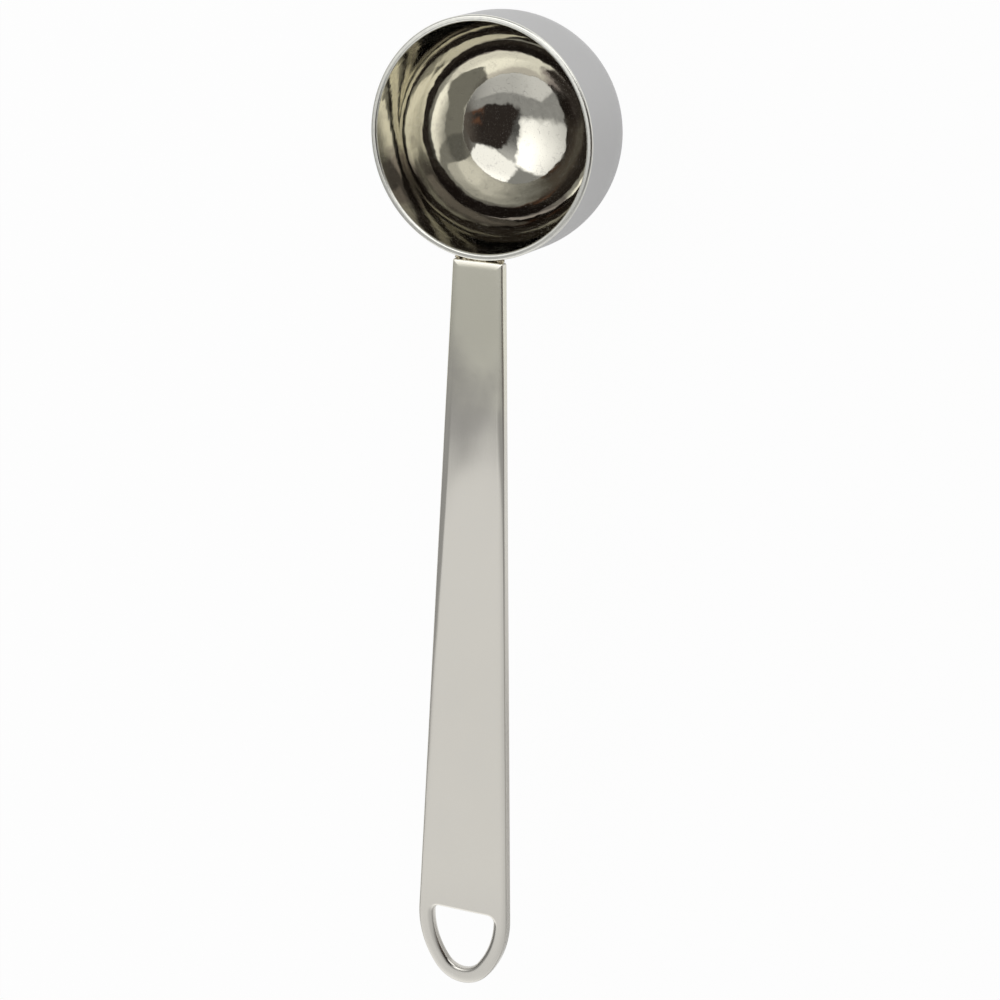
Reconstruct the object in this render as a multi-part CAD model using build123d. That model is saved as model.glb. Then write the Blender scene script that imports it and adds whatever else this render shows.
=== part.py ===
from build123d import *
from math import atan2, cos, hypot, pi, sin, sqrt
import os

# Measuring spoon: a deep pressed bowl with a flat bar handle welded to its side.
# Millimetres. The origin is the centre of the bowl's mouth, in the plane of the rim.
# +Z points up out of the bowl, and +X runs along the handle to the hanging loop.

# Bowl, a sheet-metal pressing
bowl_outer_diameter = 44.0
bowl_wall = 1.2
bowl_straight_depth = 9.0
# The inside below the straight wall is a shoulder arc that runs into a crown arc.
# The shoulder arcs' centres lie this far from the bowl's axis:
bowl_shoulder_centre_offset = 2.3
# The crown arc's centre lies on the axis, this far above the shoulder arcs' centres:
bowl_crown_centre_rise = 8.7
rim_outer_round = 0.4

# Handle, a flat bar
handle_length = 140.7
handle_root_width = 10.15
handle_thickness = 2.0
handle_drop_below_rim = 0.2
handle_root_gap = 0.15
handle_root_corner_radius = 0.5
handle_edge_round = 0.6

# Loop at the handle's wide end, as wide as this at the hole's straight side
loop_width = 18.75
loop_flank_radius = 17.3
loop_tip_radius = 7.05
loop_band = 3.0
hole_length = 11.75
hole_corner_radius = 1.2
hole_edge_round = 0.65

# Weld metal
seam_left_reach = 3.3
seam_right_reach = 1.8
seam_below_top_face = 0.3
tack_offset = 4.15
tack_radius = 0.8
bead_leg = 1.7
bead_half_angle = 10.5

# Shares of a piece's own sizes
edge_round_limit_share = 0.45
bead_hollow_share = 0.35
full_turn = 360.0

outer_radius = bowl_outer_diameter / 2
inner_radius = outer_radius - bowl_wall
handle_top = -handle_drop_below_rim
handle_bottom = handle_top - handle_thickness
handle_root = outer_radius + handle_root_gap
hole_side = handle_length - loop_band - hole_length


def circle_point(centre_x, centre_y, radius, angle):
    """A point on a circle, with the angle in radians from +X."""
    return (centre_x + radius * cos(angle), centre_y + radius * sin(angle))


# Bowl: its section is drawn in the XZ plane, from the axis outwards, and spun about Z.


def dish_curve(wall):
    """The curve of one face below the straight wall, a wall's thickness outside the inner face."""
    centre_offset = bowl_shoulder_centre_offset
    shoulder_radius = inner_radius - centre_offset + wall
    crown_radius = shoulder_radius + hypot(centre_offset, bowl_crown_centre_rise)
    crown_z = bowl_crown_centre_rise - bowl_straight_depth
    change = atan2(-bowl_crown_centre_rise, centre_offset)
    side = circle_point(centre_offset, -bowl_straight_depth, shoulder_radius, 0)
    shoulder_middle = circle_point(centre_offset, -bowl_straight_depth, shoulder_radius, change / 2)
    join = circle_point(centre_offset, -bowl_straight_depth, shoulder_radius, change)
    crown_middle = circle_point(0, crown_z, crown_radius, (change - pi / 2) / 2)
    bottom = circle_point(0, crown_z, crown_radius, -pi / 2)
    return side, shoulder_middle, join, crown_middle, bottom


def make_bowl():
    side, shoulder_middle, join, crown_middle, bottom = dish_curve(0)
    out_side, out_shoulder_middle, out_join, out_crown_middle, out_bottom = dish_curve(bowl_wall)
    bend = rim_outer_round * (1 - sin(pi / 4))
    with BuildPart() as bowl:
        with BuildSketch(Plane.XZ):
            with BuildLine():
                ThreePointArc(bottom, crown_middle, join)
                ThreePointArc(join, shoulder_middle, side)
                Line(side, (inner_radius, 0))
                Line((inner_radius, 0), (outer_radius - rim_outer_round, 0))
                ThreePointArc(
                    (outer_radius - rim_outer_round, 0),
                    (outer_radius - bend, -bend),
                    (outer_radius, -rim_outer_round),
                )
                Line((outer_radius, -rim_outer_round), out_side)
                ThreePointArc(out_side, out_shoulder_middle, out_join)
                ThreePointArc(out_join, out_crown_middle, out_bottom)
                Line(out_bottom, bottom)
            make_face()
        revolve(axis=Axis.Z, revolution_arc=full_turn)
    return bowl.part.solid()


# Handle: straight flanks that widen to the loop, a large arc each side and a small arc round the tip.


def loop_outline(inset):
    """The loop's arcs, moved inwards by the inset: centres, radii and the angles where they meet."""
    half_width = handle_root_width / 2
    slope = (loop_width / 2 - half_width) / hole_side
    flare = atan2(slope, 1)
    # The flank arc's centre lies its radius inside the straight flank
    # and one radius difference away from the tip arc's centre.
    tip_centre = handle_length - loop_tip_radius
    centre_line = half_width - loop_flank_radius / cos(flare)
    radius_gap = loop_flank_radius - loop_tip_radius
    square = 1 + slope**2
    linear = 2 * (slope * centre_line - tip_centre)
    constant = tip_centre**2 + centre_line**2 - radius_gap**2
    flank_x = (-linear - sqrt(linear**2 - 4 * square * constant)) / (2 * square)
    flank_y = slope * flank_x + centre_line
    return {
        "flank_centre": (handle_root + flank_x, flank_y),
        "flank_radius": loop_flank_radius - inset,
        "tip_centre": (handle_root + tip_centre, 0),
        "tip_radius": loop_tip_radius - inset,
        "flank_start": pi / 2 + flare,
        "tip_start": atan2(-flank_y, tip_centre - flank_x),
    }


def loop_points(inset, first_angle):
    """The loop's half outline on the +Y side: arc points from the first angle to the tip."""
    loop = loop_outline(inset)
    flank_middle_angle = (first_angle + loop["tip_start"]) / 2
    start = circle_point(*loop["flank_centre"], loop["flank_radius"], first_angle)
    flank_middle = circle_point(*loop["flank_centre"], loop["flank_radius"], flank_middle_angle)
    join = circle_point(*loop["tip_centre"], loop["tip_radius"], loop["tip_start"])
    tip = circle_point(*loop["tip_centre"], loop["tip_radius"], 0)
    return start, flank_middle, join, tip


def mirrored(point):
    return (point[0], -point[1])


def handle_face():
    half_width = handle_root_width / 2
    start, flank_middle, join, tip = loop_points(0, loop_outline(0)["flank_start"])
    with BuildSketch() as face:
        with BuildLine():
            Line((handle_root, -half_width), (handle_root, half_width))
            Line((handle_root, half_width), start)
            ThreePointArc(start, flank_middle, join)
            ThreePointArc(join, tip, mirrored(join))
            ThreePointArc(mirrored(join), mirrored(flank_middle), mirrored(start))
            Line(mirrored(start), (handle_root, -half_width))
        make_face()
        root_corners = face.vertices().sort_by(Axis.X)[:2]
        fillet(root_corners, handle_root_corner_radius)
    return face.sketch


def hole_face():
    loop = loop_outline(loop_band)
    centre_x, centre_y = loop["flank_centre"]
    side_x = handle_root + hole_side
    side_y = centre_y + sqrt(loop["flank_radius"] ** 2 - (side_x - centre_x) ** 2)
    first_angle = atan2(side_y - centre_y, side_x - centre_x)
    start, flank_middle, join, tip = loop_points(loop_band, first_angle)
    with BuildSketch() as face:
        with BuildLine():
            Line(mirrored(start), start)
            ThreePointArc(start, flank_middle, join)
            ThreePointArc(join, tip, mirrored(join))
            ThreePointArc(mirrored(join), mirrored(flank_middle), mirrored(start))
        make_face()
        corners = face.vertices().sort_by(Axis.X)[:2]
        fillet(corners, hole_corner_radius)
    return face.sketch


def make_handle():
    edge_round = min(handle_edge_round, edge_round_limit_share * handle_thickness)
    inner_round = min(hole_edge_round, edge_round_limit_share * handle_thickness)
    plate = extrude(handle_face(), amount=handle_thickness)
    flat_faces = plate.faces().filter_by(Axis.Z)
    plate = fillet(flat_faces.edges(), edge_round)
    hole = extrude(hole_face(), amount=handle_thickness)
    plate = plate - hole
    hole_reach = handle_root + hole_side - hole_corner_radius
    top_and_bottom = plate.faces().filter_by(Axis.Z)
    hole_edges = [
        edge
        for face in top_and_bottom
        for wire in face.inner_wires()
        for edge in wire.edges()
        if edge.center().X > hole_reach
    ]
    plate = fillet(hole_edges, inner_round)
    return (Pos(0, 0, handle_bottom) * plate).solid()


# Welds: each one fills part of the wedge between the bowl's round wall and the bar's square end.


def wall_body():
    """A solid cylinder as wide as the bowl, to cut weld metal back to the wall."""
    depth = bowl_straight_depth
    return Pos(0, 0, -depth / 2) * Cylinder(outer_radius, depth)


def make_weld_seam():
    height = handle_thickness - seam_below_top_face
    width = seam_left_reach + seam_right_reach
    middle_y = (seam_right_reach - seam_left_reach) / 2
    length = bowl_wall + handle_root_gap
    block = Box(length, width, height)
    block = Pos(handle_root - length / 2, middle_y, handle_bottom + height / 2) * block
    return (block - wall_body()).solid()


def make_weld_tack(side):
    middle_z = (handle_top + handle_bottom) / 2
    ball = Pos(handle_root, side * tack_offset, middle_z) * Sphere(tack_radius)
    slab_length = 2 * tack_radius
    beyond = Pos(handle_root + slab_length / 2, side * tack_offset, middle_z)
    beyond = beyond * Box(slab_length, 2 * slab_length, 2 * slab_length)
    return (ball - beyond - wall_body()).solid()


def make_weld_bead():
    """A concave run under the bar, bent round the wall."""
    toe = (outer_radius, handle_bottom - bead_leg)
    heel = (outer_radius, handle_bottom)
    nose = (handle_root + bead_leg, handle_bottom)
    dip = bead_hollow_share * bead_leg
    hollow = (outer_radius + dip, handle_bottom - dip)
    with BuildPart() as bead:
        with BuildSketch(Plane.XZ.rotated((0, 0, -bead_half_angle))):
            with BuildLine():
                Line(toe, heel)
                Line(heel, nose)
                ThreePointArc(nose, hollow, toe)
            make_face()
        revolve(axis=Axis.Z, revolution_arc=2 * bead_half_angle)
    return bead.part.solid()


pieces = {
    "bowl": make_bowl(),
    "handle": make_handle(),
    "weld_seam": make_weld_seam(),
    "weld_tack_left": make_weld_tack(-1),
    "weld_tack_right": make_weld_tack(1),
    "weld_bead_underside": make_weld_bead(),
}

os.makedirs("parts", exist_ok=True)
for name, piece in pieces.items():
    export_step(piece, f"parts/{name}.step")
    size = piece.bounding_box().size
    print(f"{name}: {size.X:.2f} x {size.Y:.2f} x {size.Z:.2f} mm, {piece.volume:.1f} mm3")
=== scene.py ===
from math import atan2, cos, hypot, pi, radians, sin, sqrt, tan

import bmesh
import bpy
from mathutils import Matrix, Vector, noise


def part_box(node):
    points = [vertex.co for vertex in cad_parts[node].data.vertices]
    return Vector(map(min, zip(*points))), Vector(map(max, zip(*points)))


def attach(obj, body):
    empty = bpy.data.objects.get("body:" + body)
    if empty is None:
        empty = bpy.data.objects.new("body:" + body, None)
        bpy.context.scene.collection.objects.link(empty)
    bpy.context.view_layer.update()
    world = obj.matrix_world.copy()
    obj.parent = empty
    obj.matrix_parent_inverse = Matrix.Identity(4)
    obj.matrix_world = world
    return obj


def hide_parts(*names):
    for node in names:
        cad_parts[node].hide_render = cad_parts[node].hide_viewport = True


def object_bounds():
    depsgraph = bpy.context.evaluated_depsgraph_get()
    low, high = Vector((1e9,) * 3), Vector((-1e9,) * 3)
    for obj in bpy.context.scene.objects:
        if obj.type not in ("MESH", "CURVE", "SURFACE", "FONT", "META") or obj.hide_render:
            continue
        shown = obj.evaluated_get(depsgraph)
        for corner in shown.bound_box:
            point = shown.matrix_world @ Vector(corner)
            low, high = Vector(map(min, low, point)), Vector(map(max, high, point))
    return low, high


# Measuring spoon: a polished steel bowl with a satin outside, and a flat bar handle welded to it.
# Metres, in the part's own frame: the origin is the centre of the bowl's mouth, +Z points up out
# of the bowl, and +X runs along the handle to the hanging loop.

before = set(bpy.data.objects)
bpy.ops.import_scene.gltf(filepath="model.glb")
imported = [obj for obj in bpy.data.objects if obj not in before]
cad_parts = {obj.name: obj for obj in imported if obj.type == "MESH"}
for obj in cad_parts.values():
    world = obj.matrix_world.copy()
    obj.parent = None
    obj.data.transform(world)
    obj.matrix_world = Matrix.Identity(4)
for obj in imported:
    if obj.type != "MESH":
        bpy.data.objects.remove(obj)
cad_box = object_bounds()

MM = 0.001

# Places read from the frame
bowl_low, bowl_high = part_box("bowl")
handle_low, handle_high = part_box("handle")
seam_low, seam_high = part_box("weld_seam")
tack_low, tack_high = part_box("weld_tack_right")

outer_radius = (bowl_high.x - bowl_low.x) / 2
handle_root = handle_low.x
handle_length = handle_high.x - handle_low.x
handle_top = handle_high.z
handle_bottom = handle_low.z
joint_height = (handle_top + handle_bottom) / 2

# Bowl
bowl_wall = 1.2 * MM
inner_radius = outer_radius - bowl_wall
straight_depth = 9.0 * MM
shoulder_offset = 2.3 * MM
crown_rise = 8.7 * MM
rim_outer_round = 0.4 * MM
rim_inner_round = 0.4 * MM
# Points this close beside a round keep its shading off the flat next to it.
crease_guard = 0.03 * MM
seam_merge_distance = 0.0005 * MM
bowl_turn_steps = 288
straight_steps = 14
shoulder_steps = 56
crown_steps = 20
round_steps = 5
# A face's row is the mean of its corners' rows, so the face before row 9 has 8.5. The rim has the
# faces between two marks, each set back this far from a row. The outside has those past a third
# mark, which is set back further, so that the face after the rim's last one counts as outside.
rim_mark_back = 0.5
outside_mark_back = 0.75

# Handle
handle_root_width = 10.15 * MM
edge_round = 0.45 * MM
crown_width = 1.5 * MM
crown_slope = radians(9.0)
root_corner_radius = 0.5 * MM
smallest_corner = 0.02 * MM
loop_width = 18.75 * MM
flank_radius = 17.3 * MM
tip_radius = 7.05 * MM
loop_band = 3.0 * MM
hole_length = 11.75 * MM
hole_corner_radius = 1.2 * MM
hole_edge_drop = 0.65 * MM
hole_edge_width = 1.25 * MM
# The edge along the hole's straight side has this share of that width.
hole_side_share = 0.5
edge_steps = 8
crown_rings = 5
corner_steps = 6
flank_steps = 26
tip_steps = 22

root_half_width = handle_root_width / 2
hole_side = handle_length - loop_band - hole_length
flank_slope = (loop_width / 2 - root_half_width) / hole_side
flank_flare = atan2(flank_slope, 1.0)

# Welds
weld_path_steps = 24
weld_ring_points = 20
samples_per_ripple = 6.0
# A run thins to this share of its radius at its ends. It is full past the second value, which
# counts from 0 at an end to 1 in the middle.
weld_end_share = 0.45
weld_full_from = 0.35
bead_radius = 1.0 * MM
bead_offset = 0.45 * MM
bead_half_angle = radians(10.0)
bead_pitch = 0.55 * MM
bead_ripple_share = 0.16
seam_radius = 0.3 * MM
seam_offset = 0.05 * MM
seam_depth = 0.55 * MM
seam_pitch = 0.42 * MM
seam_ripple_share = 0.2
tack_reach = Vector((0.45, 0.72, 0.8)) * MM
tack_subdivisions = 4
tack_lump_share = 0.22
tack_lump_scale = 1.6
tack_lump_shift = 3.0

# Studio: a lit ceiling over the spoon. Its outlines are slopes from the bowl's mouth, towards the
# handle and to the right of it, with their corners clockwise, seen from above.
ceiling_height = 320.0 * MM
ceiling_reach = 2.4
floor_reach = 3.0
left_light = [(-0.66, 0.0), (0.15, -0.10), (0.16, -1.55), (-1.02, -1.30), (-0.80, -0.30)]
far_light = [(-0.60, 0.0), (-0.80, -0.10), (-4.5, 1.15), (-4.5, 4.6), (-0.44, 0.95), (-0.43, 0.42)]
light_gap = [(-0.76, -0.06), (-0.88, 0.0), (-1.05, -0.18), (-0.96, -0.34), (-0.80, -0.26)]
half_shade = [(-0.60, 0.0), (-0.42, 0.34), (0.22, 0.25), (0.24, -0.11)]
opening = [
    (0.27, -0.10),
    (-0.26, 0.12),
    (-0.41, 0.36),
    (-0.43, 1.2),
    (0.33, 1.9),
    (0.40, 0.46),
    (0.36, 0.05),
]
left_light_softness = 0.07
far_light_softness = 0.04
light_gap_softness = 0.03
light_gap_strength = 0.75
half_shade_softness = 0.02
opening_softness = 0.03
outline_raggedness = 0.18

# Camera, at the photograph's viewing angle
camera_place = Vector((-91.259, 248.35, 508.03)) * MM
camera_aim = Vector((65.868, 5.839, 0.0)) * MM
camera_up = Vector((-0.96287, -0.13884, -0.23153))
camera_lens = 115.2
camera_sensor = 36.0
camera_nearest = 10.0 * MM

# The places of the Mix node's colour sockets, among those for other kinds of data
mix_factor, mix_first, mix_second = 0, 6, 7
mix_result = 2


class Value:
    """A node's output, on which arithmetic adds Math nodes to its tree."""

    def __init__(self, graph, socket):
        self.graph = graph
        self.socket = socket

    def _math(self, operation, *terms):
        return self.graph.node("ShaderNodeMath", {"operation": operation}, *terms).out()

    def __add__(self, other):
        return self._math("ADD", self, other)

    def __radd__(self, other):
        return self._math("ADD", other, self)

    def __sub__(self, other):
        return self._math("SUBTRACT", self, other)

    def __rsub__(self, other):
        return self._math("SUBTRACT", other, self)

    def __mul__(self, other):
        return self._math("MULTIPLY", self, other)

    def __rmul__(self, other):
        return self._math("MULTIPLY", other, self)

    def __truediv__(self, other):
        return self._math("DIVIDE", self, other)

    def __rtruediv__(self, other):
        return self._math("DIVIDE", other, self)

    def __pow__(self, exponent):
        return self._math("POWER", self, exponent)

    def __rpow__(self, base):
        return self._math("POWER", base, self)

    def __neg__(self):
        return self._math("MULTIPLY", self, -1.0)

    def sine(self):
        return self._math("SINE", self)

    def cosine(self):
        return self._math("COSINE", self)

    def whole(self):
        return self._math("FLOOR", self)

    def size(self):
        return self._math("ABSOLUTE", self)

    def root(self):
        return self._math("SQRT", self)

    def at_least(self, other):
        return self._math("MAXIMUM", self, other)

    def above(self, other):
        return self._math("GREATER_THAN", self, other)

    def below(self, other):
        return self._math("LESS_THAN", self, other)

    def angle(self, across):
        return self._math("ARCTAN2", self, across)

    def length(self):
        settings = {"operation": "LENGTH"}
        return self.graph.node("ShaderNodeVectorMath", settings, self).out("Value")

    def rise(self, low, high):
        """0 below low and 1 above high, with a smooth step between them."""
        settings = {"interpolation_type": "SMOOTHSTEP"}
        return self.graph.node("ShaderNodeMapRange", settings, self, low, high, 0.0, 1.0).out()

    def patch(self, middle, reach):
        """The squared distance from a middle: 1 at the patch's edge."""
        return ((self - middle) / reach) ** 2.0


class Node:
    """A node and its outputs."""

    def __init__(self, graph, node):
        self.graph = graph
        self.node = node

    def out(self, name=0):
        return Value(self.graph, self.node.outputs[name])


class Graph:
    """A node tree, whose nodes all come from one method."""

    def __init__(self, tree):
        self.tree = tree

    def node(self, kind, settings=None, *values, **named):
        """Adds a node, makes its settings, then fills its sockets in order and by name."""
        node = self.tree.nodes.new(kind)
        for key, setting in (settings or {}).items():
            setattr(node, key, setting)
        for place, value in enumerate(values):
            self._fill(node.inputs[place], value)
        for name, value in named.items():
            self._fill(node.inputs[name.replace("_", " ")], value)
        return Node(self, node)

    def _fill(self, socket, value):
        if isinstance(value, Node):
            value = value.out()
        if isinstance(value, Value):
            self.tree.links.new(value.socket, socket)
        else:
            socket.default_value = value

    def mix(self, factor, first, second):
        """A mix of two colours."""
        mixer = self.node("ShaderNodeMix", {"data_type": "RGBA", "clamp_factor": True})
        sockets = mixer.node.inputs
        self._fill(sockets[mix_factor], factor)
        self._fill(sockets[mix_first], first)
        self._fill(sockets[mix_second], second)
        return mixer.out(mix_result)

    def split(self, vector):
        parts = self.node("ShaderNodeSeparateXYZ", None, vector)
        return parts.out(0), parts.out(1), parts.out(2)

    def join(self, x, y, z):
        return self.node("ShaderNodeCombineXYZ", None, x, y, z).out()

    def noise(self, vector, scale, detail=2.0, roughness=0.5):
        """Noise from 0 to 1."""
        named = {"Scale": scale, "Detail": detail, "Roughness": roughness}
        return self.node("ShaderNodeTexNoise", None, vector, **named).out(0)


def rgb(red, green, blue):
    return (red, green, blue, 1.0)


# Geometry trees


def geometry_graph(name, inputs):
    """A geometry tree with named inputs, and its group input node."""
    tree = bpy.data.node_groups.new(name, "GeometryNodeTree")
    tree.interface.new_socket("Geometry", in_out="OUTPUT", socket_type="NodeSocketGeometry")
    tree.interface.new_socket("Geometry", in_out="INPUT", socket_type="NodeSocketGeometry")
    for label, kind in inputs:
        tree.interface.new_socket(label, in_out="INPUT", socket_type=kind)
    graph = Graph(tree)
    return graph, graph.node("NodeGroupInput")


def finish_tree(graph, geometry, finishes):
    """The end of each tree: smooth, real geometry, then each finish on the faces it covers."""
    smooth = graph.node("GeometryNodeSetShadeSmooth", None, geometry)
    dressed = graph.node("GeometryNodeRealizeInstances", None, smooth)
    for covered, finish in finishes:
        dressed = graph.node("GeometryNodeSetMaterial", None, dressed, covered, finish)
    graph.node("NodeGroupOutput", None, dressed)
    return graph.tree


def new_object(name, mesh):
    piece = bpy.data.objects.new(name, mesh)
    bpy.context.scene.collection.objects.link(piece)
    return piece


def chain_mesh(name, points):
    """A mesh of one open chain of edges."""
    mesh = bpy.data.meshes.new(name)
    edges = [(place, place + 1) for place in range(len(points) - 1)]
    mesh.from_pydata(points, edges, [])
    return mesh


def grow(name, seed_mesh, tree, sizes):
    """Runs a geometry tree on a mesh and keeps its result as a plain mesh."""
    piece = new_object(name, seed_mesh)
    modifier = piece.modifiers.new(name, "NODES")
    modifier.node_group = tree
    for item in tree.interface.items_tree:
        if item.in_out == "INPUT" and item.name in sizes:
            modifier[item.identifier] = sizes[item.name]
    bpy.context.view_layer.update()
    evaluated = piece.evaluated_get(bpy.context.evaluated_depsgraph_get())
    mesh = bpy.data.meshes.new_from_object(evaluated)
    piece.modifiers.clear()
    piece.data = mesh
    mesh.name = name
    return piece


# Materials


def material_graph(name):
    material = bpy.data.materials.new(name)
    material.use_nodes = True
    material.node_tree.nodes.clear()
    return material, Graph(material.node_tree)


def object_place(graph):
    """Object coordinates, and the same in millimetres as three values."""
    place = graph.node("ShaderNodeTexCoord").out("Object")
    x, y, z = graph.split(place)
    return place, x / MM, y / MM, z / MM


def steel_shader(graph, colour, roughness, height, height_unit, metallic=1.0):
    """A steel surface with relief, whose height is given in its own unit of length."""
    relief = graph.node("ShaderNodeBump", None, Height=height, Distance=height_unit, Strength=1.0)
    sockets = {"Base_Color": colour, "Metallic": metallic, "Roughness": roughness, "Normal": relief}
    shader = graph.node("ShaderNodeBsdfPrincipled", None, **sockets)
    graph.node("ShaderNodeOutputMaterial", None, shader)


def joint_tint(x, y, z):
    """How strongly the welding heat has tinted the steel: 1 at the joint, 0 a few millimetres away."""
    along = x.patch(outer_radius / MM, 1.5)
    across = y.patch(0.0, 5.2)
    up = z.patch(joint_height / MM, 2.4)
    return 1.0 - (across + along + up).rise(0.25, 1.3)


steel_polished = rgb(0.715, 0.695, 0.615)
# The colour of the painted shade: dark reflections painted inside the bowl.
steel_painted_shade = rgb(0.235, 0.205, 0.195)
steel_marked = rgb(0.42, 0.40, 0.37)
steel_satin = rgb(0.585, 0.583, 0.580)
steel_dull = rgb(0.555, 0.552, 0.550)
# The ground rim's colour, paler than steel: a painted sheen.
steel_ground_and_sheen = rgb(0.855, 0.85, 0.787)
steel_bar = rgb(0.82, 0.79, 0.72)
steel_bar_dull = rgb(0.79, 0.765, 0.705)
steel_bar_warm = rgb(0.94, 0.915, 0.78)
# A painted highlight along the bar's rounded end edge by the bowl.
steel_painted_highlight = rgb(0.99, 0.965, 0.86)
steel_tip = rgb(0.69, 0.67, 0.62)
steel_glint = rgb(0.9, 0.9, 0.88)
steel_straw = rgb(0.60, 0.50, 0.27)
steel_bronze = rgb(0.17, 0.125, 0.07)
steel_cream = rgb(0.80, 0.73, 0.55)


def painted_reflection_shade(x, y, z, smear):
    """Painted shade in the bowl: dark reflections painted near the joint and in a band low on that side.
    """
    turn = y.angle(x)
    ragged = (smear - 0.5) * 1.2
    beside = turn.patch(radians(-60.0), radians(18.0)) + z.patch(-6.0, 8.0)
    around = turn.patch(radians(-15.0), radians(62.0)) + z.patch(0.0, 4.5)
    slanted_z = z + (turn + 0.35) * 4.9
    low = turn.patch(radians(-22.0), radians(54.0)) + slanted_z.patch(-17.9, 2.8)
    shade_amount = 1.0 - (beside + ragged).rise(0.4, 1.3)
    shade_amount = shade_amount.at_least(0.5 - (around + ragged).rise(0.4, 1.2) * 0.5)
    return shade_amount.at_least(0.9 - (low + ragged).rise(0.5, 1.3) * 0.9)


def polished_steel():
    """The inside of the bowl: buffed bright, with wipe marks, specks, hair lines and painted dark
    reflections.
    """
    material, graph = material_graph("steel_polished_inside")
    place, x, y, z = object_place(graph)
    radius = (x * x + y * y).root()
    rings = graph.noise(graph.join(radius, z, 0.0), 2.2, 3.0)
    swell = graph.noise(place, 0.25 / MM, 2.0)
    smear = graph.noise(graph.join(x, y, z * 0.5), 0.35, 4.0)
    wipes = graph.noise(graph.join(x * 0.6, y * 4.0, z * 0.9), 0.9, 6.0, 0.7)
    specks = graph.noise(place, 4.0 / MM, 2.0).rise(0.66, 0.73)
    hairs = 1.0 - (graph.noise(place, 0.42 / MM, 3.0) - 0.5).size().rise(0.0, 0.022)
    hairs = hairs * smear.rise(0.44, 0.56)
    marks = specks * 0.5 + rings * 0.06 + hairs * 0.35
    roughness = 0.028 + smear.rise(0.45, 0.75) * 0.04 + wipes.rise(0.55, 0.85) * 0.035
    # Painted shade: dark reflections painted into the colour near the joint and low on that side.
    colour = graph.mix(painted_reflection_shade(x, y, z, smear), steel_polished, steel_painted_shade)
    colour = graph.mix(marks, colour, steel_marked)
    height = rings * 0.3 + wipes * 1.6 + swell * 34.0
    near_rim = (z + straight_depth / MM).rise(0.0, straight_depth / MM)
    haze = 0.004 + smear.rise(0.4, 0.7) * 0.012 + near_rim * 0.008 + specks * 0.4
    steel_shader(graph, colour, roughness, height, 0.001 * MM, 1.0 - haze)
    return material


def satin_steel():
    """The outside of the bowl: an even satin finish, turned round the bowl's axis."""
    material, graph = material_graph("steel_satin_outside")
    place, x, y, z = object_place(graph)
    radius = (x * x + y * y).root()
    turned = graph.noise(graph.join(radius * 0.6, z * 6.0, 0.0), 3.0, 3.0, 0.6)
    patches = graph.noise(place, 0.12 / MM, 3.0)
    roughness = 0.30 + patches * 0.08 + turned * 0.05
    colour = graph.mix(patches, steel_dull, steel_satin)
    colour = graph.mix(joint_tint(x, y, z), colour, steel_straw)
    steel_shader(graph, colour, roughness, turned, 0.0015 * MM)
    return material


def rim_steel():
    """The rim, ground flat with fine lines that follow it round, and paler than steel as a painted
    sheen.
    """
    material, graph = material_graph("steel_ground_rim")
    place, x, y, z = object_place(graph)
    radius = (x * x + y * y).root()
    lines = graph.noise(graph.join(radius * 9.0, z * 5.0, 0.0), 2.0, 3.0, 0.6)
    nicks = graph.noise(place, 0.9 / MM, 4.0, 0.65)
    roughness = 0.16 + lines * 0.11 + nicks * 0.06
    # The rim's colour is paler than steel, a painted sheen, with darker nicks.
    colour = graph.mix(nicks.rise(0.4, 0.8) * 0.4, steel_ground_and_sheen, steel_satin)
    steel_shader(graph, colour, roughness, lines * 0.7 + nicks * 0.3, 0.003 * MM)
    return material


def handle_steel():
    """The handle: warm satin by the bowl, then buffed smooth, and worn duller towards the loop."""
    material, graph = material_graph("steel_satin_handle")
    place, x, y, z = object_place(graph)
    grain = graph.noise(graph.join(x * 0.12, y * 5.0, z * 5.0), 2.0, 4.0, 0.6)
    patches = graph.noise(place, 0.09 / MM, 3.0)
    specks = graph.noise(place, 2.4 / MM, 2.0).rise(0.71, 0.77)
    swell = graph.noise(graph.join(x * 0.045, y * 0.08, z), 1.0, 1.0)
    ragged_x = x + (graph.noise(place, 0.16 / MM, 3.0) - 0.5) * 14.0 - y * 0.5
    buffed = ragged_x.rise(37.0, 50.0)
    worn = x.rise(70.0, 110.0)
    roughness = 0.225 - buffed * 0.155 + worn * 0.09 + patches * 0.02 + grain * 0.02
    colour = graph.mix(patches, steel_bar_dull, steel_bar)
    colour = graph.mix(1.0 - ragged_x.rise(34.0, 56.0), colour, steel_bar_warm)
    colour = graph.mix(joint_tint(x, y, z) * 0.3, colour, steel_straw)
    # Painted highlight: the first millimetre of the bar by the bowl is painted near white.
    painted_end_highlight = 1.0 - (x - handle_root / MM).rise(0.5, 1.2)
    colour = graph.mix(painted_end_highlight, colour, steel_painted_highlight)
    colour = graph.mix(x.rise(138.0, 163.0) * 0.8, colour, steel_tip)
    colour = graph.mix(specks * 0.4, colour, steel_glint)
    steel_shader(graph, colour, roughness, grain + swell * 180.0, 0.0012 * MM)
    return material


def weld_steel():
    """Weld metal as it cooled: straw and brown."""
    material, graph = material_graph("steel_weld")
    place = object_place(graph)[0]
    scale = graph.noise(place, 1.4 / MM, 4.0, 0.65)
    roughness = 0.28 + scale * 0.25
    colour = graph.mix(scale.rise(0.42, 0.60), steel_bronze, steel_cream)
    steel_shader(graph, colour, roughness, scale, 0.02 * MM)
    return material


# Bowl


def arc_points(centre, radius, first, last, steps):
    """Points along an arc in the section, without its last one."""
    angles = [first + (last - first) * step / steps for step in range(steps)]
    return [(centre[0] + radius * cos(a), centre[1] + radius * sin(a)) for a in angles]


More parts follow.
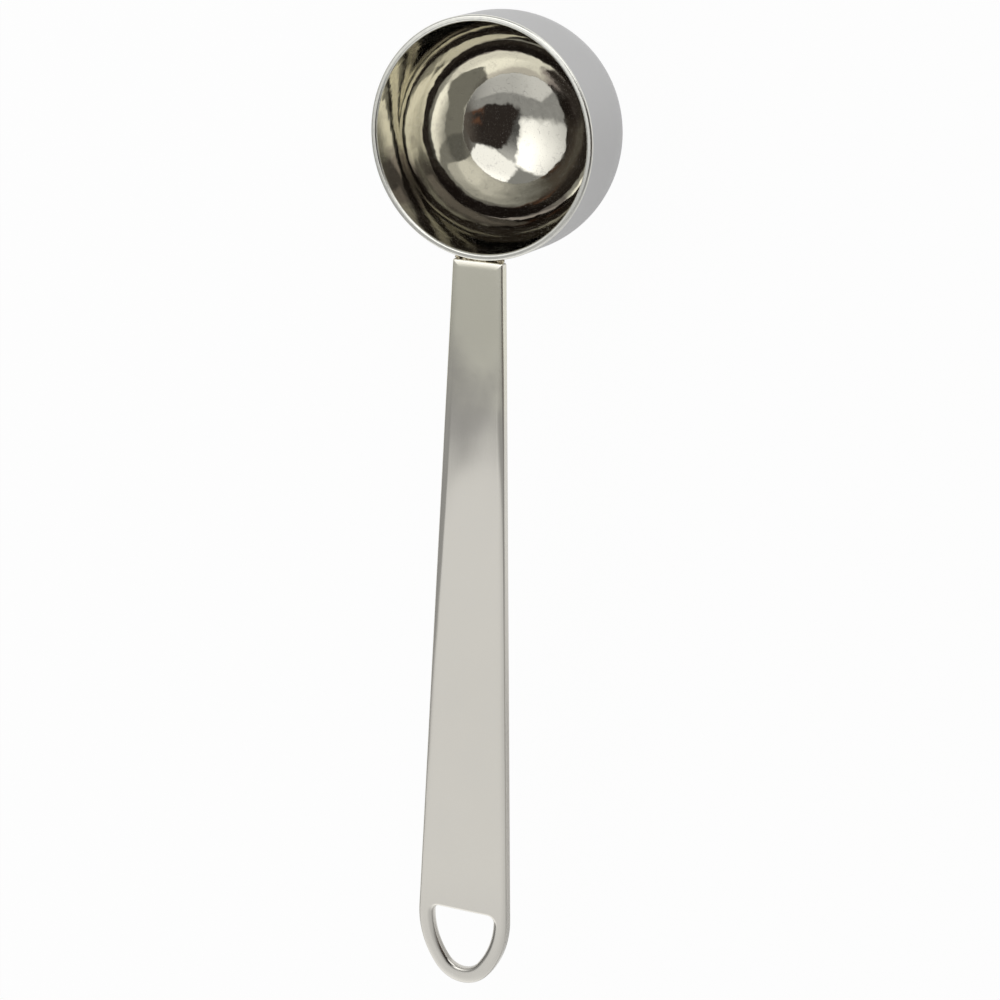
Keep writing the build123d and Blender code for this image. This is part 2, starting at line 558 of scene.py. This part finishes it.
def dish_points(wall):
    """One face of the dish, from the bottom up to the straight wall, as radius and height."""
    shoulder_radius = inner_radius - shoulder_offset + wall
    crown_radius = shoulder_radius + hypot(shoulder_offset, crown_rise)
    crown_centre = (0.0, crown_rise - straight_depth)
    shoulder_centre = (shoulder_offset, -straight_depth)
    change = atan2(-crown_rise, shoulder_offset)
    crown = arc_points(crown_centre, crown_radius, -pi / 2, change, crown_steps)
    return crown + arc_points(shoulder_centre, shoulder_radius, change, 0.0, shoulder_steps)


def bowl_section():
    """The bowl's section, from the inside bottom up, over the rim and down to the outside bottom."""
    inside_top = -rim_inner_round
    outside_top = -rim_outer_round
    flat_inner = inner_radius + rim_inner_round
    flat_outer = outer_radius - rim_outer_round
    straight = straight_depth + inside_top
    climb = [-straight_depth + straight * step / straight_steps for step in range(straight_steps)]
    inside = dish_points(0.0) + [(inner_radius, height) for height in climb]
    inside.append((inner_radius, inside_top - crease_guard))
    rim = arc_points((flat_inner, inside_top), rim_inner_round, pi, pi / 2, round_steps)
    rim += [(flat_inner, 0.0), (flat_inner + crease_guard, 0.0), (flat_outer - crease_guard, 0.0)]
    rim += arc_points((flat_outer, outside_top), rim_outer_round, pi / 2, 0.0, round_steps)
    rim += [(outer_radius, outside_top), (outer_radius, outside_top - crease_guard)]
    outside = dish_points(bowl_wall) + [(outer_radius, height) for height in climb]
    section = inside + rim + outside[::-1]
    marks = {"Rim Start": len(inside), "Rim End": len(inside) + len(rim)}
    return [(radius, 0.0, height) for radius, height in section], marks


def spin_tree():
    """Turns a section round the Z axis: a grid whose columns are copies of the section."""
    inputs = [
        ("Turn Steps", "NodeSocketInt"),
        ("Section Points", "NodeSocketInt"),
        ("Rim Start", "NodeSocketInt"),
        ("Rim End", "NodeSocketInt"),
        ("Inside Finish", "NodeSocketMaterial"),
        ("Rim Finish", "NodeSocketMaterial"),
        ("Outside Finish", "NodeSocketMaterial"),
    ]
    graph, given = geometry_graph("spin_section", inputs)
    turns = given.out("Turn Steps")
    count = given.out("Section Points")
    grid = graph.node("GeometryNodeMeshGrid", None, 1.0, 1.0, turns + 1.0, count)
    index = graph.node("GeometryNodeInputIndex").out()
    column = (index / count).whole()
    row = index - column * count
    place = graph.node("GeometryNodeInputPosition")
    settings = {"data_type": "FLOAT_VECTOR", "domain": "POINT"}
    sampled = graph.node("GeometryNodeSampleIndex", settings, given.out("Geometry"), place, row)
    radius, _, height = graph.split(sampled.out())
    angle = column / turns * (2 * pi)
    spun = graph.join(radius * angle.cosine(), radius * angle.sine(), height)
    moved = graph.node("GeometryNodeSetPosition", None, grid.out("Mesh"), Position=spun)

    # The rows are stored while the grid still counts in order, and the seam closes after that.
    settings = {"data_type": "FLOAT", "domain": "POINT"}
    rows = graph.node("GeometryNodeStoreNamedAttribute", settings, moved, Name="section_row", Value=row)
    closed = graph.node("GeometryNodeMergeByDistance", None, rows, Distance=seam_merge_distance)
    stored = graph.node("GeometryNodeInputNamedAttribute", {"data_type": "FLOAT"}, "section_row").out()
    in_rim = stored.above(given.out("Rim Start") - rim_mark_back)
    in_rim = in_rim * stored.below(given.out("Rim End") - rim_mark_back)
    outside = stored.above(given.out("Rim End") - outside_mark_back)
    finishes = [
        (True, given.out("Inside Finish")),
        (in_rim, given.out("Rim Finish")),
        (outside, given.out("Outside Finish")),
    ]
    return finish_tree(graph, closed, finishes)


def make_bowl(finishes):
    section, marks = bowl_section()
    sizes = {"Turn Steps": bowl_turn_steps, "Section Points": len(section)}
    return grow("bowl_shell", chain_mesh("bowl_section", section), spin_tree(), sizes | marks | finishes)


# Handle


def loop_arcs():
    """The loop's arcs, measured from the handle's root: their centres and the angle they meet at."""
    tip_centre = handle_length - tip_radius
    centre_line = root_half_width - flank_radius / cos(flank_flare)
    gap = flank_radius - tip_radius
    # The flank arc's centre lies on the centre line's slope, one gap away from the tip arc's centre.
    square = 1 + flank_slope**2
    linear = 2 * (flank_slope * centre_line - tip_centre)
    constant = tip_centre**2 + centre_line**2 - gap**2
    flank_x = (-linear - sqrt(linear**2 - 4 * square * constant)) / (2 * square)
    flank_y = flank_slope * flank_x + centre_line
    return (flank_x, flank_y), (tip_centre, 0.0), atan2(-flank_y, tip_centre - flank_x)


def swing(centre, radius, first, last, steps):
    """Outline points along an arc, each with the angle that it faces."""
    angles = [first + (last - first) * step / steps for step in range(steps + 1)]
    return [(centre[0] + radius * cos(a), centre[1] + radius * sin(a), a) for a in angles]


def mirrored(half):
    """A half outline that ends at the tip, and its mirror image."""
    return half + [(x, -y, -a) for x, y, a in reversed(half[:-1])]


def bar_outline(inset):
    """The bar's outline, moved inwards by the inset."""
    flank, tip, meeting = loop_arcs()
    corner = max(root_corner_radius - inset, smallest_corner)
    corner_x = inset + corner
    corner_y = root_half_width + flank_slope * corner_x - corner_x / cos(flank_flare)
    flank_start = pi / 2 + flank_flare
    half = swing((corner_x, corner_y), corner, pi, flank_start, corner_steps)
    half += swing(flank, flank_radius - inset, flank_start, meeting, flank_steps)
    half += swing(tip, tip_radius - inset, meeting, 0.0, tip_steps)[1:]
    return mirrored(half)


def hole_outline(inset):
    """The hanging hole's outline, moved outwards by the inset."""
    flank, tip, meeting = loop_arcs()
    band = loop_band - inset
    corner = hole_corner_radius + inset
    corner_x = hole_side - inset * hole_side_share + corner
    reach = flank_radius - band - corner
    corner_y = flank[1] + sqrt(reach**2 - (corner_x - flank[0]) ** 2)
    turn = atan2(corner_y - flank[1], corner_x - flank[0])
    half = swing((corner_x, corner_y), corner, pi, turn, corner_steps)
    half += swing(flank, flank_radius - band, turn, meeting, flank_steps)[1:]
    half += swing(tip, tip_radius - band, meeting, 0.0, tip_steps)[1:]
    return mirrored(half)


def both_edges(top):
    """The rings of a top edge, followed by the same ones turned over for the bottom edge."""
    height_sum = handle_top + handle_bottom
    return top + [(inset, height_sum - height, -tilt) for inset, height, tilt in reversed(top)]


def oval_edge():
    """Inset, height and tilt of each ring of the hole's edges, which are wider than they are deep."""
    top = []
    for step in range(edge_steps + 1):
        turn = pi / 2 * (1 - step / edge_steps)
        inset = hole_edge_width * (1 - cos(turn))
        height = handle_top - hole_edge_drop * (1 - sin(turn))
        top.append((inset, height, atan2(hole_edge_width * sin(turn), hole_edge_drop * cos(turn))))
    return both_edges(top)


def crowned_edge():
    """Inset, height and tilt of each ring of the bar's edges: a slight crown, then a small round."""
    round_start = edge_round * (1 - sin(crown_slope))
    crown_run = crown_width - round_start
    crown_drop = crown_run * tan(crown_slope) / 2
    top = []
    for step in range(crown_rings):
        share = step / crown_rings
        fall = atan2(2 * crown_drop * share, crown_run)
        top.append((crown_width - crown_run * share, handle_top - crown_drop * share**2, pi / 2 - fall))
    centre = handle_top - crown_drop - edge_round * cos(crown_slope)
    for step in range(edge_steps + 1):
        tilt = (pi / 2 - crown_slope) * (1 - step / edge_steps)
        top.append((edge_round * (1 - cos(tilt)), centre + edge_round * sin(tilt), tilt))
    return both_edges(top)


def add_rings(shape, normals, outline, layers, facing):
    """The rings of one rounded side, joined by faces. Returns the top and bottom ring."""
    rings = []
    for inset, height, tilt in layers:
        ring = []
        for x, y, angle in outline(inset):
            ring.append(shape.verts.new((handle_root + x, y, height)))
            lean = facing * cos(tilt)
            normals.append(Vector((lean * cos(angle), lean * sin(angle), sin(tilt))))
        rings.append(ring)
    for upper, lower in zip(rings, rings[1:]):
        for place in range(len(upper)):
            after = (place + 1) % len(upper)
            corners = (upper[place], upper[after], lower[after], lower[place])
            shape.faces.new(corners if facing > 0 else corners[::-1])
    return rings[0], rings[-1]


def ring_edges(shape, ring):
    pairs = [(ring[place], ring[(place + 1) % len(ring)]) for place in range(len(ring))]
    return [shape.edges.get(pair) or shape.edges.new(pair) for pair in pairs]


def make_handle(finish):
    shape = bmesh.new()
    normals = []
    outer_top, outer_bottom = add_rings(shape, normals, bar_outline, crowned_edge(), 1)
    hole_top, hole_bottom = add_rings(shape, normals, hole_outline, oval_edge(), -1)
    for outer, hole, up in ((outer_top, hole_top, 1.0), (outer_bottom, hole_bottom, -1.0)):
        edges = ring_edges(shape, outer) + ring_edges(shape, hole)
        made = bmesh.ops.triangle_fill(shape, edges=edges, use_beauty=True)
        for face in made["geom"]:
            if isinstance(face, bmesh.types.BMFace) and face.normal.z * up < 0:
                face.normal_flip()
    mesh = bpy.data.meshes.new("handle_bar")
    shape.to_mesh(mesh)
    shape.free()
    mesh.shade_smooth()
    mesh.normals_split_custom_set_from_vertices(normals)
    mesh.materials.append(finish)
    return new_object("handle_bar", mesh)


# Welds


def weld_tree():
    """A run of weld metal along a path: a round bead whose thickness swells at each ripple."""
    inputs = [
        ("Radius", "NodeSocketFloat"),
        ("Ripple Pitch", "NodeSocketFloat"),
        ("Ripple Share", "NodeSocketFloat"),
        ("Finish", "NodeSocketMaterial"),
    ]
    graph, given = geometry_graph("weld_run", inputs)
    pitch = given.out("Ripple Pitch")
    path = graph.node("GeometryNodeMeshToCurve", None, given.out("Geometry"))
    spacing = pitch / samples_per_ripple
    dense = graph.node("GeometryNodeResampleCurve", {"mode": "LENGTH"}, path, Length=spacing)
    parameter = graph.node("GeometryNodeSplineParameter")
    ripple = 1.0 - (parameter.out("Length") / pitch * pi).sine().size()
    along = parameter.out("Factor")
    from_ends = along * (1.0 - along) * 4.0
    taper = from_ends.rise(0.0, weld_full_from) * (1.0 - weld_end_share) + weld_end_share
    thickness = given.out("Radius") * taper * (1.0 - ripple * given.out("Ripple Share"))
    ring = graph.node("GeometryNodeCurvePrimitiveCircle", None, Resolution=weld_ring_points, Radius=1.0)
    sockets = {"Scale": thickness, "Fill_Caps": True}
    skin = graph.node("GeometryNodeCurveToMesh", None, dense, ring.out("Curve"), **sockets)
    return finish_tree(graph, skin, [(True, given.out("Finish"))])


def make_weld_run(name, tree, points, radius, pitch, share, finish):
    sizes = {"Radius": radius, "Ripple Pitch": pitch, "Ripple Share": share, "Finish": finish}
    return grow(name, chain_mesh(name, points), tree, sizes)


def make_bead(tree, finish):
    """The run under the bar, bent round the bowl's wall."""
    reach = outer_radius + bead_offset
    height = handle_bottom - bead_offset
    steps = range(weld_path_steps + 1)
    turns = [bead_half_angle * (2 * step / weld_path_steps - 1) for step in steps]
    path = [(reach * cos(turn), reach * sin(turn), height) for turn in turns]
    name = "weld_run_underside"
    return make_weld_run(name, tree, path, bead_radius, bead_pitch, bead_ripple_share, finish)


def make_seam(tree, finish):
    """The run in the gap between the bowl's wall and the bar's square end."""
    x = handle_root - seam_offset
    width = seam_high.y - seam_low.y
    height = handle_top - seam_depth
    steps = range(weld_path_steps + 1)
    path = [(x, seam_low.y + width * step / weld_path_steps, height) for step in steps]
    name = "weld_run_top"
    return make_weld_run(name, tree, path, seam_radius, seam_pitch, seam_ripple_share, finish)


def make_tack(name, side, finish):
    """A lump of weld metal in one corner between wall and bar."""
    shape = bmesh.new()
    bmesh.ops.create_icosphere(shape, subdivisions=tack_subdivisions, radius=1.0)
    middle = (tack_low + tack_high) / 2
    centre = Vector((middle.x, side * middle.y, middle.z))
    shift = Vector((side * tack_lump_shift, 0.0, 0.0))
    for vertex in shape.verts:
        lump = 1.0 + tack_lump_share * noise.noise(vertex.co * tack_lump_scale + shift)
        vertex.co = Vector([a * b for a, b in zip(vertex.co * lump, tack_reach)]) + centre
    mesh = bpy.data.meshes.new(name)
    shape.to_mesh(mesh)
    shape.free()
    mesh.shade_smooth()
    mesh.materials.append(finish)
    return new_object(name, mesh)


# Studio

studio_white = rgb(1.0, 1.0, 1.0)
studio_wall = rgb(0.80, 0.80, 0.80)
floor_paper = rgb(0.86, 0.86, 0.86)
ceiling_near = rgb(0.30, 0.30, 0.295)
ceiling_gap = rgb(0.30, 0.30, 0.29)
ceiling_right = rgb(0.12, 0.11, 0.10)
opening_near = rgb(0.032, 0.026, 0.024)
opening_far = rgb(0.115, 0.098, 0.088)
opening_brown = rgb(0.130, 0.066, 0.042)


def make_camera():
    back = (camera_place - camera_aim).normalized()
    right = camera_up.cross(back).normalized()
    up = back.cross(right)
    turned = Matrix((right, up, back)).transposed().to_4x4()
    lens = bpy.data.cameras.new("camera")
    lens.lens = camera_lens
    lens.sensor_width = camera_sensor
    lens.clip_start = camera_nearest
    camera = bpy.data.objects.new("camera", lens)
    camera.matrix_world = Matrix.Translation(camera_place) @ turned
    bpy.context.scene.collection.objects.link(camera)
    bpy.context.scene.camera = camera


def make_world():
    """Even pale walls round the spoon, white to the camera."""
    world = bpy.data.worlds.new("studio")
    bpy.context.scene.world = world
    world.use_nodes = True
    world.node_tree.nodes.clear()
    graph = Graph(world.node_tree)
    seen = graph.node("ShaderNodeLightPath").out("Is Camera Ray")
    colour = graph.mix(seen, studio_wall, studio_white)
    background = graph.node("ShaderNodeBackground", None, colour, 1.0)
    graph.node("ShaderNodeOutputWorld", None, background)


def soft_polygon(graph, slopes, corners, soft):
    """1 inside a convex outline of slopes and 0 outside. Its corners run clockwise, seen from above."""
    inside = 1.0
    for (u, v), (next_u, next_v) in zip(corners, corners[1:] + corners[:1]):
        along_u, along_v = next_u - u, next_v - v
        length = hypot(along_u, along_v)
        across = (along_v / length, -along_u / length, 0.0)
        settings = {"operation": "DOT_PRODUCT"}
        reach = graph.node("ShaderNodeVectorMath", settings, slopes, across).out("Value")
        edge = across[0] * u + across[1] * v
        inside = reach.rise(edge - soft, edge + soft) * inside
    return inside


def ragged_slopes(graph, slopes, u, v):
    """The slopes, moved about a little, so that the outlines drawn with them are ragged."""
    swapped = graph.join(v, u, 3.0)
    move_u = (graph.noise(slopes, 6.0, 4.0, 0.65) - 0.5) * outline_raggedness
    move_v = (graph.noise(swapped, 6.0, 4.0, 0.65) - 0.5) * outline_raggedness
    return graph.join(u + move_u, v + move_v, 0.0)


def plain_ceiling(graph, slopes, u, v):
    """The ceiling without its lights: dim over the spoon, pale past the handle, dark on the right."""
    ground = 0.24 + graph.noise(slopes, 11.0, 4.0, 0.6) * 0.18 - (-v).rise(0.9, 1.8) * 0.15
    pale_start = 0.432 + v.rise(-0.45, 0.4) * 0.183 + (-0.455 - v).at_least(0.0) * 0.85
    pale_share = (u - pale_start).rise(-0.03, 0.04)
    pale_fading = 1.0 - v.rise(-0.45, 0.05) * 0.22 - v.rise(0.3, 1.5) * 0.40
    pale = (0.75 + u.rise(0.95, 1.7) * 0.38) * pale_fading
    light = graph.mix(u.rise(0.0, 0.2), ceiling_near, ground + (pale - ground) * pale_share)
    right_side = v.rise(0.85, 1.4) * u.rise(-3.0, -1.2) * (1.0 - u.rise(0.3, 1.0))
    return graph.mix(right_side, light, ceiling_right)


def dark_opening(graph, slopes, u, v):
    """What shows in the opening: near black, with a brown stain, and lighter on the far side."""
    dark = graph.mix(v.rise(0.7, 1.5), opening_near, opening_far)
    stain = graph.noise(slopes, 3.2, 3.0).rise(0.42, 0.55) * u.rise(-0.05, 0.10)
    stain = stain * v.rise(0.62, 0.80) * (1.0 - v.rise(1.0, 1.25))
    return graph.mix(stain, dark, opening_brown)


def ceiling_light(graph):
    """The ceiling's brightness: two white lights, a pale side past the handle and one dark opening."""
    place = graph.node("ShaderNodeTexCoord").out("Object")
    x, y, _ = graph.split(place)
    u = x / ceiling_height
    v = y / ceiling_height
    slopes = graph.join(u, v, 0.0)
    ragged = ragged_slopes(graph, slopes, u, v)
    left_fading = 0.37 ** (-0.28 - v).at_least(0.0)
    left = left_fading * 1.76 * (1.0 - u.rise(-0.35, 0.12) * 0.25)
    far = 1.26 + (-u).rise(0.9, 1.6) * 0.40 - (-u).rise(2.2, 4.0) * 0.5
    shade = 0.10 + (-u).rise(0.0, 0.6) * 0.5
    dark = dark_opening(graph, slopes, u, v)
    layers = [
        (left_light, left_light_softness, 1.0, left),
        (far_light, far_light_softness, 1.0, far),
        (light_gap, light_gap_softness, light_gap_strength, ceiling_gap),
        (half_shade, half_shade_softness, 1.0, shade),
        (opening, opening_softness, 1.0, dark),
    ]
    light = plain_ceiling(graph, slopes, u, v)
    for corners, soft, strength, colour in layers:
        light = graph.mix(soft_polygon(graph, ragged, corners, soft) * strength, light, colour)
    return graph.mix(slopes.length().rise(4.0, 7.0), light, studio_wall)


def flat_sheet(name, reach, height):
    mesh = bpy.data.meshes.new(name)
    corners = [(x * reach, y * reach, height) for x, y in ((-1, -1), (1, -1), (1, 1), (-1, 1))]
    mesh.from_pydata(corners, [], [(0, 1, 2, 3)])
    return new_object(name, mesh)


def make_ceiling():
    """The studio's lit ceiling, which the steel mirrors. The camera looks down through it."""
    ceiling = flat_sheet("ceiling", ceiling_reach, ceiling_height)
    material, graph = material_graph("ceiling_light")
    glow = graph.node("ShaderNodeEmission", None, ceiling_light(graph), 1.0)
    graph.node("ShaderNodeOutputMaterial", None, glow)
    material.cycles.emission_sampling = "NONE"
    ceiling.data.materials.append(material)
    ceiling.visible_camera = False


def make_floor():
    """White paper with a faint shadow. The steel mirrors less of it towards the handle's end."""
    floor = flat_sheet("floor", floor_reach, cad_box[0][2])
    material, graph = material_graph("floor_paper")
    paper = graph.node("ShaderNodeBsdfDiffuse", None, floor_paper)
    glow = graph.node("ShaderNodeEmission", None, studio_white, 1.0)
    path = graph.node("ShaderNodeLightPath")
    _, x, y, _ = object_place(graph)
    under_loop = x.rise(130.0, 142.0) * (1.0 - y.rise(4.0, 14.0))
    mirrored_share = 0.80 - x.rise(-30.0, 10.0) * 0.28 - x.rise(75.0, 130.0) * 0.45
    mirrored_share = mirrored_share + under_loop * 0.6
    seen = (path.out("Is Camera Ray") * 0.965).at_least(path.out("Is Glossy Ray") * mirrored_share)
    mixed = graph.node("ShaderNodeMixShader", None, seen, paper, glow)
    graph.node("ShaderNodeOutputMaterial", None, mixed)
    floor.data.materials.append(material)


def settle(piece, *nodes, slot):
    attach(piece, "root")
    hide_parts(*nodes)


def main():
    finishes = {
        "Inside Finish": polished_steel(),
        "Rim Finish": rim_steel(),
        "Outside Finish": satin_steel(),
    }
    settle(make_bowl(finishes), "bowl", slot="bowl_steel")
    settle(make_handle(handle_steel()), "handle", slot="handle_steel")

    weld = weld_steel()
    tree = weld_tree()
    settle(make_bead(tree, weld), "weld_bead_underside", slot="weld_metal")
    settle(make_seam(tree, weld), "weld_seam", slot="weld_metal")
    for name, side in (("left", -1), ("right", 1)):
        tack = make_tack(f"weld_lump_{name}", side, weld)
        settle(tack, f"weld_tack_{name}", slot="weld_metal")

    make_camera()
    make_world()
    make_ceiling()
    make_floor()
    bpy.context.scene.view_settings.view_transform = "Standard"


main()
